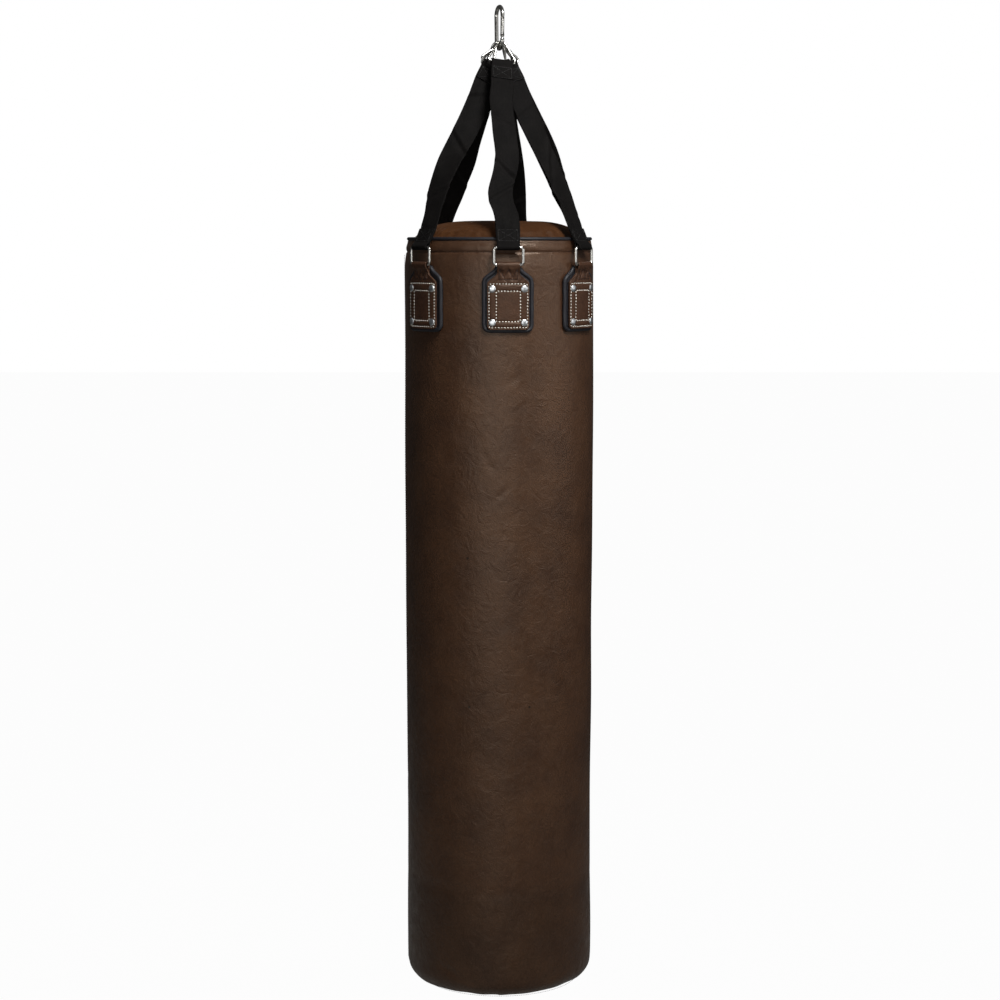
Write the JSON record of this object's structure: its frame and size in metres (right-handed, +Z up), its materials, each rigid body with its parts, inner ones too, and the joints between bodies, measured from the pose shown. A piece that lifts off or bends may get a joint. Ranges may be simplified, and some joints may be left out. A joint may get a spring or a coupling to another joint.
{
  "type": "hanging heavy bag",
  "caption": "Long cylindrical leather punch bag with a domed padded top, hung by webbing straps from riveted tabs with rings to one sprung snap hook.",
  "frame": {"origin": "the point on the inner crown of the snap hook where the hook that carries the bag bears", "axes": "+Z up, the bag hangs down -Z; -Y is the front, +X is to the right seen from the front"},
  "size_m": [0.3838, 0.4206, 1.9988],
  "materials": {
    "brown_leather": "smooth waxed hide, softly mottled, satin",
    "cap_leather": "smooth lighter tan-brown hide, satin",
    "tab_leather": "reddish brown hide, slightly glossier, white and brown stitching",
    "black_vinyl": "black grained vinyl over foam, rolled edge",
    "filling_textile": "packed shredded textile",
    "black_webbing": "black woven webbing, matt with a faint sheen",
    "bright_nickel": "bright nickel-plated wire",
    "rivet_nickel": "domed nickel-plated head",
    "polished_steel": "polished zinc-plated steel, lightly rubbed"
  },
  "bodies": {
    "carabiner": {"carabiner_body": "polished_steel", "gate_pin": "polished_steel"},
    "gate": {"carabiner_gate": "polished_steel"},
    "bag": {"shell": "brown_leather", "filling": "filling_textile", "top_cap": "cap_leather", "pad_front_left": "black_vinyl", "tab_front_left": "tab_leather", "ring_front_left": "bright_nickel", "strap_front_left": "black_webbing", "delta_ring_front_left": "bright_nickel", "rivet_front_left_upper_left": "rivet_nickel", "rivet_front_left_upper_right": "rivet_nickel", "rivet_front_left_lower_left": "rivet_nickel", "rivet_front_left_lower_right": "rivet_nickel", "pad_front": "black_vinyl", "tab_front": "tab_leather", "ring_front": "bright_nickel", "strap_front": "black_webbing", "delta_ring_front": "bright_nickel", "rivet_front_upper_left": "rivet_nickel", "rivet_front_upper_right": "rivet_nickel", "rivet_front_lower_left": "rivet_nickel", "rivet_front_lower_right": "rivet_nickel", "pad_front_right": "black_vinyl", "tab_front_right": "tab_leather", "ring_front_right": "bright_nickel", "strap_front_right": "black_webbing", "delta_ring_front_right": "bright_nickel", "rivet_front_right_upper_left": "rivet_nickel", "rivet_front_right_upper_right": "rivet_nickel", "rivet_front_right_lower_left": "rivet_nickel", "rivet_front_right_lower_right": "rivet_nickel", "pad_back_right": "black_vinyl", "tab_back_right": "tab_leather", "ring_back_right": "bright_nickel", "strap_back_right": "black_webbing", "delta_ring_back_right": "bright_nickel", "rivet_back_right_upper_left": "rivet_nickel", "rivet_back_right_upper_right": "rivet_nickel", "rivet_back_right_lower_left": "rivet_nickel", "rivet_back_right_lower_right": "rivet_nickel", "pad_back": "black_vinyl", "tab_back": "tab_leather", "ring_back": "bright_nickel", "strap_back": "black_webbing", "delta_ring_back": "bright_nickel", "rivet_back_upper_left": "rivet_nickel", "rivet_back_upper_right": "rivet_nickel", "rivet_back_lower_left": "rivet_nickel", "rivet_back_lower_right": "rivet_nickel", "pad_back_left": "black_vinyl", "tab_back_left": "tab_leather", "ring_back_left": "bright_nickel", "strap_back_left": "black_webbing", "delta_ring_back_left": "bright_nickel", "rivet_back_left_upper_left": "rivet_nickel", "rivet_back_left_upper_right": "rivet_nickel", "rivet_back_left_lower_left": "rivet_nickel", "rivet_back_left_lower_right": "rivet_nickel"}
  },
  "joints": [
    {"name": "gate_hinge", "type": "hinge", "parent": "carabiner", "child": "gate", "pos_m": [0.0057, -0.01565, -0.0527], "axis": [-0.9397, -0.342, 0], "range_deg": [0, 28], "stiffness_Nm_per_rad": 0.08, "springref_deg": -11.46},
    {"name": "bag_swing", "type": "hinge", "parent": "carabiner", "child": "bag", "pos_m": [0, 0, -0.0759], "axis": [-0.342, 0.9397, 0], "range_deg": [-20, 20]}
  ]
}
